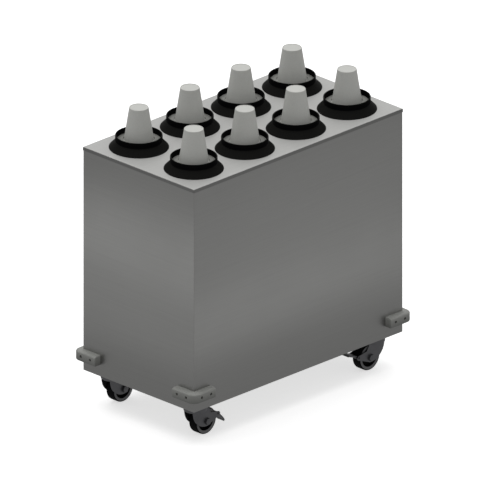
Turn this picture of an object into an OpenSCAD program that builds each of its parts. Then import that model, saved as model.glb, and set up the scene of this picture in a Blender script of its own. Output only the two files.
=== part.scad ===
// Mobile cup dispenser: a sheet metal cabinet on four swivel casters, with eight
// spring-lifted cup tubes hung from its deck. Origin on the floor below the middle
// of the cabinet, X along the long side, the front towards -Y, Z up.

/* [Cabinet] */
// Length of the cabinet along its long side
cabinet_l = 927; // [900:1:1100]
// Depth of the cabinet from front to back
cabinet_d = 492; // [470:1:600]
// Height of the cabinet from its lower edge to the top of the deck
cabinet_h = 761; // [720:1:850]
// Thickness of the side sheets
panel_t = 1.5; // [1:0.1:2.5]
// Width of the flanges turned in on the side sheets
flange_w = 22; // [15:1:30]
// Thickness of the deck sheet
deck_t = 1.5; // [1:0.1:2.5]
// Height of the deck's turned-down edge
deck_edge_h = 11; // [8:0.5:20]
// Gap between the turned-down edge and the side sheets
deck_edge_gap = 0.5; // [0.3:0.1:1.5]
// Thickness of the base pan
pan_t = 2.5; // [1.5:0.1:4]
// Height of the base pan's upturned rim
pan_rim_h = 24; // [15:1:40]
// How far the side sheets hang below the base pan
pan_lift = 3; // [1:0.5:8]

/* [Dispensing heads] */
// Distance between neighbouring dispensers along the cabinet
column_pitch = 227; // [200:1:235]
// Distance between the two rows of dispensers
row_pitch = 244; // [200:1:250]
// Outer diameter of the collar
collar_d = 150; // [148:1:160]
// Wall thickness of the collar
collar_wall = 4; // [3:0.5:4.5]
// Height of the collar's rim above the deck
collar_h = 42; // [36:1:60]
// Outer diameter of the collar's flange on the deck
collar_flange_d = 190; // [175:1:196]
// Height of the top of the flange's slope above the deck
collar_slope_h = 22; // [12:1:26]
// Height of the flange's upright lip
collar_lip_h = 1.5; // [1:0.5:4]
// Depth of the collar's skirt below the deck
collar_skirt_h = 22; // [16:1:40]
// Height above the deck of the ledge that carries the gasket
gasket_z = 22; // [20:0.5:28]
// Thickness of the gasket
gasket_t = 1.6; // [1:0.1:2.5]
// How far the gasket rises from its edge to its hole
gasket_rise = 4; // [0:0.5:8]
// Clearance between the gasket's hole and the rim of a cup
gasket_gap = 0.5; // [0.3:0.1:2]

/* [Tubes and followers] */
// Outer diameter of the dispenser tube
tube_d = 140; // [138:0.5:141]
// Wall thickness of the dispenser tube
tube_wall = 2; // [1.5:0.1:2.5]
// Length of the dispenser tube
tube_l = 560; // [500:1:600]
// Thickness of the tube's end cap
cap_t = 3; // [2:0.5:5]
// Height of the end cap
cap_h = 20; // [12:1:35]
// Height of the follower's skirt
follower_h = 26; // [18:1:40]
// Wall thickness of the follower
follower_t = 3; // [2:0.5:5]
// Outer diameter of the spring
spring_d = 112; // [105:1:118]
// Diameter of the spring wire
spring_wire = 3; // [2:0.1:4]

/* [Cups] */
// Height of a cup
cup_h = 114; // [95:1:125]
// Outer diameter of the cup's foot
cup_foot_d = 61; // [52:1:66]
// Outer diameter of the cup's mouth below its rim
cup_mouth_d = 96; // [90:0.5:100]
// Wall thickness of a cup
cup_wall = 2; // [1.5:0.1:2.5]
// How far the rolled rim stands out
cup_rim_out = 0.75; // [0.5:0.05:1.5]
// Height of the rolled rim
cup_rim_h = 3.5; // [2.5:0.5:5]
// Height of the top cup's foot above the deck
cup_top_z = 136; // [130:1:150]
// Clearance between nested cups
nest_gap = 0.3; // [0.3:0.05:0.6]

/* [Corner bumpers] */
// Thickness of a corner bumper
bumper_t = 24; // [16:1:30]
// Length of a bumper's arm from the cabinet's corner
bumper_arm = 76; // [66:1:120]
// Height of a corner bumper
bumper_h = 34; // [26:1:60]
// Height of a bumper's lower face above the cabinet's lower edge
bumper_z = 38; // [30:1:80]
// Bevel along a bumper's upper and lower edges
bumper_bevel = 6; // [2:0.5:9]
// Distance of a bumper's inner screw from the cabinet's corner
screw_in = 12; // [8:0.5:16]
// Distance of a bumper's outer screw from the cabinet's corner
screw_out = 53; // [40:1:58]
// Diameter of the screw heads
screw_head_d = 9.2; // [6:0.2:11]

/* [Casters] */
// Diameter of the wheels
wheel_d = 89; // [80:0.5:95]
// Width of the wheels
wheel_w = 32; // [26:0.5:36]
// Distance from the swivel axis back to the wheel axle
caster_trail = 32; // [28:0.5:34]
// Distance of the swivel axis from the cabinet's end
caster_end_in = 68; // [64:1:120]
// Distance of the swivel axis from the cabinet's long face
caster_side_in = 62; // [56:1:100]
// Diameter of the fork's crown
crown_d = 75; // [66:1:80]
// Thickness of the fork's sheet
fork_t = 3; // [2.5:0.1:4]
// Gap between the wheel and each leg of the fork
leg_gap = 2; // [1:0.1:4]
// Space between the top of the wheel and the crown
crown_gap = 13; // [11:0.5:18]
// Height of the swivel raceway under the top plate
race_h = 9; // [7:0.5:14]
// Thickness of the caster's top plate
plate_t = 4; // [3:0.5:6]
// Length of the top plate
plate_l = 100; // [94:1:115]
// Width of the top plate
plate_w = 84; // [80:1:100]
// Diameter of the kingpin and of the wheel axle
pin_d = 12; // [8:0.5:14]
// Distance from the wheel axle back to the brake's pivot
brake_back = 50; // [49:0.5:56]
// Height of the brake's pivot above the wheel axle
brake_up = 11; // [8:0.5:16]
// Length of the brake pedal from its pivot
pedal_l = 46; // [38:1:60]
// Angle of the released pedal above level
pedal_up = 26; // [10:1:35]
// Angle of the pressed pedal below level
pedal_down = 43; // [30:1:50]

/* [Hidden] */
CASTERS = ["front_left", "front_right", "rear_left", "rear_right"];
BRAKED = ["front_left", "front_right"];
HEADS = [1 : 8];
$fn = 96;

// Overrun of a cut past the face that it starts from
cut = 1;
// Gap between pieces that seat on each other round a curve
seat_gap = 0.3;
// Radial clearance of a pin that turns in its bore
running = 0.05;
// Points along a rounded edge
edge_steps = 5;

// Heights of the casters and the cabinet, from the floor up
axle_z = wheel_d / 2;
crown_top = wheel_d + crown_gap + fork_t;
base_z = crown_top + race_h + plate_t;
cabinet_z = base_z - pan_lift;
deck_z = cabinet_z + cabinet_h;
pan_top = base_z + pan_t;

// Deck
deck_over = deck_edge_gap + deck_t;
deck_l = cabinet_l + 2 * deck_over;
deck_d = cabinet_d + 2 * deck_over;
panel_top = deck_z - deck_t;
flange_gap = 0.5;

// Head, from the inside out
collar_r = collar_d / 2;
collar_in_r = collar_r - collar_wall;
flange_r = collar_flange_d / 2;
socket_r = tube_d / 2 + seat_gap;
spigot_wall = 3;
spigot_r = socket_r + spigot_wall;
deck_hole_gap = 1;
deck_hole_r = spigot_r + deck_hole_gap;
ledge_w = 4;
ledge_r = collar_in_r - ledge_w;
tube_drop = 3;
rim_round = collar_wall / 2;
slope_rate = (collar_slope_h - collar_lip_h) / (flange_r - collar_r);
slope_drop = collar_wall * sqrt(1 + slope_rate * slope_rate);

// Cups, with the mouth down at height zero
mouth_r = cup_mouth_d / 2;
foot_r = cup_foot_d / 2;
rim_r = mouth_r + cup_rim_out;
cup_taper = (mouth_r - foot_r) / cup_h;
nest_pitch = (cup_wall + nest_gap) / cup_taper;
mouth_z = cup_top_z - cup_h;
stack_cups = 12;
foot_ring_w = 2.4;
foot_recess = 1.5;
cup_floor_t = 2.5;
cup_edge_r = 0.8;
gasket_hole_r = rim_r + gasket_gap;

// Tube, cap, follower and spring, measured from the deck
tube_r = tube_d / 2;
tube_in_r = tube_r - tube_wall;
tube_bottom = -tube_drop - tube_l;
follower_gap = 0.4;
follower_r = tube_in_r - follower_gap;
follower_top = mouth_z - stack_cups * nest_pitch;
follower_boss_r = mouth_r - 4 * cup_wall;
follower_boss_h = 4 * follower_t;
follower_vent_r = 2 * follower_t;
cap_wall = 2;
cap_r = tube_r + seat_gap + cap_wall;
cap_drain_r = cap_h / 2;
pilot_h = 8;
pilot_t = 2;
spring_r = (spring_d - spring_wire) / 2;
spring_rings = 8;
pilot_r = (spring_r - spring_wire / 2) * cos(180 / spring_rings) - seat_gap;
spring_low = tube_bottom + seat_gap + spring_wire / 2;
spring_high = follower_top - follower_t - seat_gap - spring_wire / 2;
spring_turns = 7;
spring_sides = 6;
spring_flat_turns = 0.6;

// Bumpers
bumper_r = bumper_t + 1.5 * panel_t;
screw_z = bumper_z + bumper_h / 2;
screw_shank_r = screw_head_d / 4;
screw_seat = bumper_t / 2;
screw_head_h = screw_head_d / 2;
screw_tail = 8;
screw_bore_gap = 0.3;

// Casters
crown_r = crown_d / 2;
crown_round = 2 * fork_t;
crown_skirt_z = wheel_d - fork_t / 2;
arch_gap = 4;
arch_r = wheel_d / 2 + arch_gap;
leg_in = wheel_w / 2 + leg_gap;
leg_out = leg_in + fork_t;
boss_r = 1.35 * pin_d;
sweep_steps = 14;
pin_r = pin_d / 2;
leg_lead = sqrt(crown_r * crown_r - leg_out * leg_out) - fork_t / 2;
race_gap = 0.5;
race_r = crown_r - fork_t / 2;
nut_r = 0.95 * pin_d;
nut_h = 0.65 * pin_d;
plate_bolt_r = 4;
plate_hole_r = plate_bolt_r + 0.5 * seat_gap;
plate_inset = 2.5 * plate_bolt_r;
plate_corner_r = 2 * plate_bolt_r;
bolt_head_r = 1.8 * plate_bolt_r;
bolt_head_h = 1.4 * plate_bolt_r;
core_r = 0.86 * wheel_d / 2;
core_flange_r = 0.92 * wheel_d / 2;
core_side = 0.38 * wheel_w;
core_recess_r = 0.64 * wheel_d / 2;
core_web = 0.14 * wheel_w;
hub_r = 0.29 * wheel_d / 2;
tyre_round = 0.11 * wheel_w;
brake_x = caster_trail + brake_back;
brake_z = axle_z + brake_up;
brake_pin_r = pin_r / 2;
brake_ear_r = 1.3 * pin_r;
barrel_r = 0.8 * pin_r;
pedal_t = fork_t;
pedal_half_w = leg_in - leg_gap;

STEEL = [0.66, 0.66, 0.65];
DARK_STEEL = [0.40, 0.40, 0.40];
BLACK = [0.07, 0.07, 0.07];
GREY_PLASTIC = [0.55, 0.55, 0.53];
CUP_WHITE = [0.85, 0.85, 0.82];

function arc(x, y, r, a0, a1, steps = edge_steps) =
    [for (i = [0 : steps])
        let (a = a0 + (a1 - a0) * i / steps)
        [x + r * cos(a), y + r * sin(a)]];

// Place of head number i, counted from the front left, row by row
function head_at(i) =
    [((i - 1) % 4 - 1.5) * column_pitch, (floor((i - 1) / 4) - 0.5) * row_pitch, deck_z];

// Side of the cabinet that a corner's name gives: -1 is left or front
function end_of(name) = name[len(name) - 1] == "t" && name[len(name) - 2] == "f" ? -1 : 1;
function side_of(name) = name[0] == "f" ? -1 : 1;

module at_heads() {
    for (i = HEADS) translate(head_at(i)) children();
}

// The corner post that a name gives, with X and Y turned to point outwards
module at_corner(name) {
    scale_x = end_of(name);
    scale_y = side_of(name);
    translate([scale_x * cabinet_l / 2, scale_y * cabinet_d / 2, cabinet_z])
        mirror([scale_x < 0 ? 1 : 0, 0, 0])
        mirror([0, scale_y < 0 ? 1 : 0, 0])
        children();
}

// A caster's swivel axis on the floor, with the wheel trailing inwards
module at_caster(name) {
    translate([
        end_of(name) * (cabinet_l / 2 - caster_end_in),
        side_of(name) * (cabinet_d / 2 - caster_side_in),
        0
    ])
        rotate([0, 0, end_of(name) < 0 ? 0 : 180])
        children();
}

// A round bar along Y, from -half to half
module cross_bar(r, half, sides = $fn) {
    rotate([90, 0, 0]) cylinder(r = r, h = 2 * half, center = true, $fn = sides);
}

// Bore places of the bumper screws at one corner, each pointing outwards along X
module at_bumper_screws() {
    for (along = [screw_in, screw_out]) {
        translate([0, -along, screw_z]) children();
        translate([-along, 0, screw_z]) rotate([0, 0, 90]) children();
    }
}

module bumper_screw_holes(r) {
    for (c = CASTERS) at_corner(c) at_bumper_screws()
        rotate([0, 90, 0]) cylinder(r = r, h = 6 * flange_w, center = true);
}

// Cabinet

module deck_plate() {
    color(STEEL) difference() {
        translate([-deck_l / 2, -deck_d / 2, deck_z - deck_edge_h])
            cube([deck_l, deck_d, deck_edge_h]);
        translate([-deck_l / 2 + deck_t, -deck_d / 2 + deck_t, deck_z - deck_edge_h - cut])
            cube([deck_l - 2 * deck_t, deck_d - 2 * deck_t, deck_edge_h - deck_t + cut]);
        at_heads() translate([0, 0, -deck_t - cut])
            cylinder(r = deck_hole_r, h = deck_t + 2 * cut);
    }
}

// A long side sheet with its upper edge turned in under the deck
module long_panel(side) {
    flange_l = cabinet_l - 4 * panel_t - 2 * flange_w - 2 * flange_gap;
    color(STEEL) difference() {
        mirror([0, side < 0 ? 0 : 1, 0]) {
            translate([-cabinet_l / 2, -cabinet_d / 2, cabinet_z])
                cube([cabinet_l, panel_t, panel_top - cabinet_z]);
            translate([-flange_l / 2, -cabinet_d / 2, panel_top - panel_t])
                cube([flange_l, flange_w, panel_t]);
        }
        bumper_screw_holes(screw_shank_r + screw_bore_gap);
    }
}

module front_panel() { long_panel(-1); }
module rear_panel() { long_panel(1); }

// An end sheet between the long ones, with a flange turned in at each upright edge
module end_panel(side) {
    inner_d = cabinet_d - 2 * panel_t;
    low = pan_top + pan_rim_h + flange_gap;
    color(STEEL) difference() {
        mirror([side < 0 ? 0 : 1, 0, 0]) translate([-cabinet_l / 2, -inner_d / 2, 0]) {
            translate([0, 0, cabinet_z]) cube([panel_t, inner_d, panel_top - cabinet_z]);
            for (y = [0, inner_d - panel_t])
                translate([0, y, low]) cube([panel_t + flange_w, panel_t, panel_top - low]);
            translate([0, panel_t + flange_gap, panel_top - panel_t])
                cube([flange_w, inner_d - 2 * panel_t - 2 * flange_gap, panel_t]);
        }
        bumper_screw_holes(screw_shank_r + screw_bore_gap);
    }
}

module left_end_panel() { end_panel(-1); }
module right_end_panel() { end_panel(1); }

module base_pan() {
    pan_l = cabinet_l - 2 * panel_t;
    pan_d = cabinet_d - 2 * panel_t;
    color(STEEL) difference() {
        translate([-pan_l / 2, -pan_d / 2, base_z]) cube([pan_l, pan_d, pan_t + pan_rim_h]);
        translate([-pan_l / 2 + panel_t, -pan_d / 2 + panel_t, pan_top])
            cube([pan_l - 2 * panel_t, pan_d - 2 * panel_t, pan_rim_h + cut]);
        for (c = CASTERS) at_caster(c) at_plate_bolts()
            translate([0, 0, base_z - cut]) cylinder(r = plate_hole_r, h = pan_t + 2 * cut);
        bumper_screw_holes(screw_shank_r + screw_bore_gap);
    }
}

// Corner bumpers

// Section of a bumper, with the panel at zero and the bevels outside
module bumper_section() {
    inside = bumper_t - bumper_r;
    polygon([
        [inside, 0],
        [bumper_t - bumper_bevel / 2, 0],
        [bumper_t, bumper_bevel / 2],
        [bumper_t, bumper_h - bumper_bevel],
        [bumper_t - bumper_bevel, bumper_h],
        [inside, bumper_h]
    ]);
}

module corner_bumper(name) {
    inside = bumper_t - bumper_r;
    arm_l = bumper_arm + inside;
    color(GREY_PLASTIC) at_corner(name) difference() {
        translate([0, 0, bumper_z]) {
            translate([0, inside, 0]) rotate([90, 0, 0])
                linear_extrude(arm_l) bumper_section();
            mirror([1, -1, 0]) translate([0, inside, 0]) rotate([90, 0, 0])
                linear_extrude(arm_l) bumper_section();
            translate([inside, inside, 0]) rotate_extrude(angle = 90)
                translate([-inside, 0]) bumper_section();
        }
        translate([-2 * bumper_arm, -2 * bumper_arm, 0])
            cube([2 * bumper_arm, 2 * bumper_arm, bumper_z + bumper_h + cut]);
        at_bumper_screws() rotate([0, 90, 0]) {
            cylinder(r = screw_shank_r + screw_bore_gap, h = 2 * bumper_t, center = true);
            translate([0, 0, screw_seat])
                cylinder(r = screw_head_d / 2 + screw_bore_gap, h = bumper_t);
        }
    }
}

module bumper_screws() {
    color(BLACK) for (c = CASTERS) at_corner(c) at_bumper_screws() rotate([0, 90, 0])
        rotate_extrude() polygon(concat(
            [[0, -screw_tail], [screw_shank_r, -screw_tail], [screw_shank_r, screw_seat]],
            [[screw_head_d / 2, screw_seat], [screw_head_d / 2, screw_seat + screw_head_h / 2]],
            [[screw_head_d / 4, screw_seat + screw_head_h], [0, screw_seat + screw_head_h]]
        ));
}

// Dispensing heads

module dispenser_collars() {
    color(BLACK) at_heads() rotate_extrude() polygon(concat(
        [[socket_r, -collar_skirt_h], [spigot_r, -collar_skirt_h], [spigot_r, 0], [collar_r, 0]],
        [[collar_r, collar_slope_h - slope_drop]],
        [[flange_r - (slope_drop - collar_lip_h) / slope_rate, 0], [flange_r, 0]],
        [[flange_r, collar_lip_h], [collar_r, collar_slope_h]],
        arc(collar_r - rim_round, collar_h - rim_round, rim_round, 0, 180),
        [[collar_in_r, gasket_z], [ledge_r, gasket_z], [ledge_r, -tube_drop], [socket_r, -tube_drop]]
    ));
}

// A shallow cone of thin sheet that closes round the cup, with a bead at its hole
module cup_gaskets() {
    edge_r = collar_in_r - seat_gap;
    bead = gasket_t / 2;
    color(CUP_WHITE) at_heads() translate([0, 0, gasket_z]) rotate_extrude() polygon([
        [edge_r, 0], [edge_r, gasket_t], [ledge_r, gasket_t],
        [gasket_hole_r + 2 * bead, gasket_rise + gasket_t],
        [gasket_hole_r + bead, gasket_rise + gasket_t + bead],
        [gasket_hole_r, gasket_rise + gasket_t], [gasket_hole_r, gasket_rise],
        [ledge_r, 0]
    ]);
}

module dispenser_tubes() {
    color(STEEL) at_heads() translate([0, 0, tube_bottom]) difference() {
        cylinder(r = tube_r, h = tube_l - seat_gap);
        translate([0, 0, -cut]) cylinder(r = tube_in_r, h = tube_l + cut);
    }
}

module tube_end_caps() {
    color(BLACK) at_heads() translate([0, 0, tube_bottom]) difference() {
        translate([0, 0, -cap_t]) cylinder(r = cap_r, h = cap_t + cap_h);
        difference() {
            cylinder(r = cap_r - cap_wall, h = cap_h + cut);
            translate([0, 0, -cut]) difference() {
                cylinder(r = pilot_r, h = pilot_h + cut);
                cylinder(r = pilot_r - pilot_t, h = pilot_h + 2 * cut);
            }
        }
        translate([0, 0, -cap_t - cut]) cylinder(r = cap_drain_r, h = cap_t + 2 * cut);
    }
}

module follower(i) {
    color(GREY_PLASTIC) translate(head_at(i)) translate([0, 0, follower_top]) difference() {
        rotate_extrude() polygon([
            [0, -follower_t], [pilot_r - pilot_t, -follower_t],
            [pilot_r - pilot_t, -follower_t - pilot_h], [pilot_r, -follower_t - pilot_h],
            [pilot_r, -follower_t], [follower_r - follower_t, -follower_t],
            [follower_r - follower_t, -follower_h], [follower_r, -follower_h],
            [follower_r, -follower_t / 2], [follower_r - follower_t / 2, 0],
            [follower_boss_r, 0], [follower_boss_r - follower_t, follower_boss_h],
            [0, follower_boss_h]
        ]);
        translate([0, 0, -follower_t - cut])
            cylinder(r = follower_boss_r - 2 * follower_t, h = follower_boss_h + cut);
        cylinder(r = follower_vent_r, h = 2 * follower_boss_h);
    }
}

// Height of the spring's wire at a number of turns, with its end turns laid flat
function spring_z(t) =
    let (
        rise_turns = spring_turns - 2 * spring_flat_turns,
        share = min(max((t - spring_flat_turns) / rise_turns, 0), 1)
    )
    spring_low + (spring_high - spring_low) * share;

function spring_point(t, side) =
    let (
        turn = 360 * t,
        around = 360 * (side + 0.5) / spring_sides,
        r = spring_r + spring_wire / 2 * cos(around)
    )
    [r * cos(turn), r * sin(turn), spring_z(t) + spring_wire / 2 * sin(around)];

// Least gap between a turn of the wire and the next one
spring_least_gap = min([for (k = [0 : spring_rings * (spring_turns - 1)])
    spring_z(k / spring_rings + 1) - spring_z(k / spring_rings)]) - spring_wire;
echo(spring_least_gap = spring_least_gap);

module spring() {
    rings = spring_rings * spring_turns;
    points = [for (k = [0 : rings]) for (s = [0 : spring_sides - 1])
        spring_point(k / spring_rings, s)];
    sides = [for (k = [0 : rings - 1]) for (s = [0 : spring_sides - 1])
        let (
            a = k * spring_sides + s,
            b = k * spring_sides + (s + 1) % spring_sides,
            c = b + spring_sides,
            d = a + spring_sides
        )
        for (f = [[a, b, c], [a, c, d]]) f];
    first = [for (s = [1 : spring_sides - 2]) [0, s + 1, s]];
    last_0 = rings * spring_sides;
    last = [for (s = [1 : spring_sides - 2]) [last_0, last_0 + s, last_0 + s + 1]];
    polyhedron(points, concat(sides, first, last));
}

module dispenser_springs() {
    color(STEEL) at_heads() spring();
}

// Cups

// Outer radius of a cup at a height above its mouth
function cup_r(z) = mouth_r - cup_taper * z;

// Rolled rim of a cup whose mouth is at height z, from its underside up
function rim_points(z) = [
    [rim_r - cup_edge_r, z],
    [rim_r, z + cup_edge_r],
    [rim_r, z + cup_rim_h - cup_edge_r],
    [rim_r - cup_edge_r, z + cup_rim_h],
    [cup_r(cup_rim_h), z + cup_rim_h]
];

// Foot of a cup whose mouth is at height z, from its edge in to the axis
function foot_points(z) = [
    [cup_r(cup_h - cup_edge_r), z + cup_h - cup_edge_r],
    [foot_r - cup_edge_r, z + cup_h],
    [foot_r - foot_ring_w, z + cup_h],
    [foot_r - foot_ring_w - foot_recess / 2, z + cup_h - foot_recess],
    [0, z + cup_h - foot_recess]
];

// Inside of a cup whose mouth is at height z, from the axis out to its mouth
function hollow_points(z) =
    let (floor_z = cup_h - foot_recess - cup_floor_t)
    [[0, z + floor_z], [cup_r(floor_z) - cup_wall, z + floor_z], [mouth_r - cup_wall, z]];

module top_cup(i) {
    color(CUP_WHITE) translate(head_at(i)) translate([0, 0, mouth_z])
        rotate_extrude() polygon(concat(rim_points(0), foot_points(0), hollow_points(0)));
}

// The cups nested below the top one, each lower than the last by one pitch
module cup_stack(i) {
    sides = [for (k = [stack_cups : -1 : 1])
        for (p = concat(
            rim_points(-k * nest_pitch),
            k > 1 ? [[cup_r(nest_pitch), -(k - 1) * nest_pitch]] : []
        )) p];
    color(CUP_WHITE) translate(head_at(i)) translate([0, 0, mouth_z])
        rotate_extrude() polygon(concat(
            sides,
            foot_points(-nest_pitch),
            hollow_points(-stack_cups * nest_pitch)
        ));
}

// Casters, each drawn round its swivel axis with its wheel towards +X

module at_plate_bolts() {
    for (x = [-1, 1]) for (y = [-1, 1])
        translate([x * (plate_l / 2 - plate_inset), y * (plate_w / 2 - plate_inset), 0])
            children();
}

module plate_outline() {
    square([plate_l - 2 * plate_corner_r, plate_w], center = true);
    square([plate_l, plate_w - 2 * plate_corner_r], center = true);
    for (x = [-1, 1]) for (y = [-1, 1])
        translate([x * (plate_l / 2 - plate_corner_r), y * (plate_w / 2 - plate_corner_r)])
            circle(r = plate_corner_r);
}

// Top plate with the upper raceway, the kingpin and its nut
module caster_top_plates() {
    race_low = crown_top + race_gap;
    pin_low = crown_top - fork_t - race_gap - nut_h;
    color(DARK_STEEL) for (c = CASTERS) at_caster(c) {
        difference() {
            translate([0, 0, base_z - plate_t]) linear_extrude(plate_t) plate_outline();
            at_plate_bolts() translate([0, 0, base_z - plate_t - cut])
                cylinder(r = plate_hole_r, h = plate_t + 2 * cut);
        }
        translate([0, 0, race_low])
            cylinder(r1 = race_r, r2 = race_r - race_gap, h = base_z - plate_t - race_low);
        translate([0, 0, pin_low - race_gap]) cylinder(r = pin_r, h = base_z - pin_low);
        translate([0, 0, pin_low]) cylinder(r = nut_r, h = nut_h, $fn = 6);
    }
}

module caster_plate_bolts() {
    low = base_z - plate_t - bolt_head_h;
    color(STEEL) for (c = CASTERS) at_caster(c) at_plate_bolts() {
        translate([0, 0, low]) cylinder(r = bolt_head_r, h = bolt_head_h, $fn = 6);
        translate([0, 0, low]) cylinder(r = plate_bolt_r, h = pan_top + 2 * bolt_head_h - low);
        translate([0, 0, pan_top]) cylinder(r = bolt_head_r, h = bolt_head_h, $fn = 6);
    }
}

// Outline of a leg in the XZ plane: a full front edge swept round to a boss at the axle. The
// sweep leaves the crown upright and meets a circle just inside the boss.
module leg_outline() {
    top = crown_top - fork_t / 2;
    side_r = boss_r - seat_gap;
    tail = caster_trail + side_r;
    front = caster_trail + leg_lead;
    drop = crown_skirt_z - axle_z;
    sweep_r = (front * front + drop * drop - side_r * side_r) / (2 * (front - side_r));
    sweep_x = sweep_r - leg_lead;
    sweep_end = 360 + atan2(-drop, caster_trail - sweep_x);
    polygon(concat(
        [[-leg_lead, top]],
        arc(sweep_x, crown_skirt_z, sweep_r, 180, sweep_end, sweep_steps),
        [[caster_trail, axle_z], [tail, axle_z], [tail, crown_skirt_z - boss_r], [leg_lead, top]]
    ));
    translate([caster_trail, axle_z]) circle(r = boss_r);
}

// Ear behind a braked fork's leg, which carries the pedal's pivot
module ear_outline() {
    tail = caster_trail + boss_r / 2;
    polygon([
        [tail, brake_z + 2 * brake_ear_r], [brake_x, brake_z + brake_ear_r],
        [brake_x, brake_z - brake_ear_r], [tail, axle_z - boss_r / 2]
    ]);
    translate([brake_x, brake_z]) circle(r = brake_ear_r);
}

module fork(name) {
    braked = side_of(name) < 0;
    color(DARK_STEEL) at_caster(name) difference() {
        union() {
            difference() {
                rotate_extrude() polygon(concat(
                    [[crown_r - fork_t, crown_skirt_z], [crown_r, crown_skirt_z]],
                    arc(crown_r - crown_round, crown_top - crown_round, crown_round, 0, 90),
                    [[0, crown_top], [0, crown_top - fork_t]],
                    [[crown_r - crown_round, crown_top - fork_t]],
                    [[crown_r - fork_t, crown_top - crown_round]]
                ));
                translate([caster_trail, 0, axle_z]) cross_bar(arch_r, leg_in + fork_t / 2);
            }
            for (y = [-leg_out, leg_in])
                translate([0, y + fork_t, 0]) rotate([90, 0, 0])
                    linear_extrude(fork_t) {
                        leg_outline();
                        if (braked) ear_outline();
                    }
        }
        translate([caster_trail, 0, axle_z]) cross_bar(pin_r + seat_gap / 2, leg_out + cut);
        translate([0, 0, crown_skirt_z]) cylinder(r = pin_r + running, h = crown_d);
        if (braked) translate([brake_x, 0, brake_z])
            cross_bar(brake_pin_r + running, leg_out + cut);
    }
}

module axle_bolt(name) {
    color(STEEL) at_caster(name) translate([caster_trail, 0, axle_z]) {
        cross_bar(pin_r, leg_out + nut_h + race_gap);
        for (y = [-1, 1]) translate([0, y * (leg_out + nut_h / 2), 0])
            cross_bar(nut_r, nut_h / 2, 6);
    }
}

// Wheel core: hub, thin web and a rim that holds the tyre between two flanges
module wheel_core(name) {
    half = wheel_w / 2;
    color(GREY_PLASTIC) at_caster(name) translate([caster_trail, 0, axle_z])
        rotate([90, 0, 0]) rotate_extrude() polygon([
            [pin_r + running, -half], [hub_r, -half], [hub_r, -core_web],
            [core_recess_r, -core_web], [core_recess_r + core_web, -half], [core_flange_r, -half],
            [core_flange_r, -core_side], [core_r, -core_side],
            [core_r, core_side], [core_flange_r, core_side],
            [core_flange_r, half], [core_recess_r + core_web, half], [core_recess_r, core_web],
            [hub_r, core_web], [hub_r, half], [pin_r + running, half]
        ]);
}

module tyre(name) {
    half = wheel_w / 2;
    outer = wheel_d / 2;
    color(BLACK) at_caster(name) translate([caster_trail, 0, axle_z])
        rotate([90, 0, 0]) rotate_extrude() polygon(concat(
            [[core_r, -core_side], [core_flange_r, -core_side], [core_flange_r, -half]],
            arc(outer - tyre_round, tyre_round - half, tyre_round, -90, 0),
            arc(outer - tyre_round, half - tyre_round, tyre_round, 0, 90),
            [[core_flange_r, half], [core_flange_r, core_side], [core_r, core_side]]
        ));
}

// Side view of the pedal, pointing along +X from its pivot
module pedal_outline() {
    tip = [pedal_l, -pedal_t];
    bend = [0.7 * pedal_l, pedal_t];
    polygon([
        [0, pedal_t / 2], bend, [tip[0], tip[1] + pedal_t], [tip[0] + pedal_t / 2, tip[1] - pedal_t],
        [tip[0] - pedal_t / 2, tip[1] - pedal_t], [tip[0] - pedal_t, tip[1]],
        [bend[0] - pedal_t / 2, 0], [0, -pedal_t / 2]
    ]);
    circle(r = barrel_r);
}

// Pedal with the pin that it turns on; the left one is pressed, the right one released
module brake_pedal(name) {
    rest = end_of(name) < 0 ? pedal_down : -pedal_up;
    color(DARK_STEEL) at_caster(name) translate([brake_x, 0, brake_z]) rotate([0, rest, 0]) {
        rotate([90, 0, 0]) linear_extrude(2 * pedal_half_w, center = true) pedal_outline();
        cross_bar(brake_pin_r, leg_out + fork_t);
    }
}

deck_plate();
front_panel();
rear_panel();
left_end_panel();
right_end_panel();
base_pan();
bumper_screws();
dispenser_collars();
cup_gaskets();
dispenser_tubes();
tube_end_caps();
dispenser_springs();
caster_top_plates();
caster_plate_bolts();
for (i = HEADS) {
    follower(i);
    cup_stack(i);
    top_cup(i);
}
for (c = CASTERS) {
    corner_bumper(c);
    fork(c);
    axle_bolt(c);
    wheel_core(c);
    tyre(c);
}
for (c = BRAKED)
    brake_pedal(c);
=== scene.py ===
"""The finished look of a mobile cup dispenser: a stainless cabinet on four casters, with eight
spring-lifted cup tubes in its deck. Lengths are in metres. X runs along the cabinet, the front
faces -Y and Z is up, with the floor at zero."""

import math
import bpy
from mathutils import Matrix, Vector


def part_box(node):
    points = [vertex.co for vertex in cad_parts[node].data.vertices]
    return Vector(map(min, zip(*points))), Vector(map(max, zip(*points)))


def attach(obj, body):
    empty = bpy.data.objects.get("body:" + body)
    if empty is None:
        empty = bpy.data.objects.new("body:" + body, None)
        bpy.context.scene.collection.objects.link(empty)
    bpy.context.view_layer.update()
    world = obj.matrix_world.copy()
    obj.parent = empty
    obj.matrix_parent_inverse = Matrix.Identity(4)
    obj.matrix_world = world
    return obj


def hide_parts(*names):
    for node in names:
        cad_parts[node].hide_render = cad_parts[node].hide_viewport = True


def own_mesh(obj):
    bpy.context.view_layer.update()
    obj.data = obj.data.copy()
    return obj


bl_info = {
    "name": "Mobile cup dispenser",
    "version": (1, 0, 0),
    "blender": (4, 5, 0),
    "location": "View3D > Sidebar > Cup dispenser",
    "description": "Dresses the frame of a mobile cup dispenser with its finished surfaces",
    "category": "Object",
}

import bmesh
import bpy
import numpy as np
from bpy.props import FloatProperty, FloatVectorProperty, PointerProperty
from mathutils import Matrix, Vector

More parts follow.
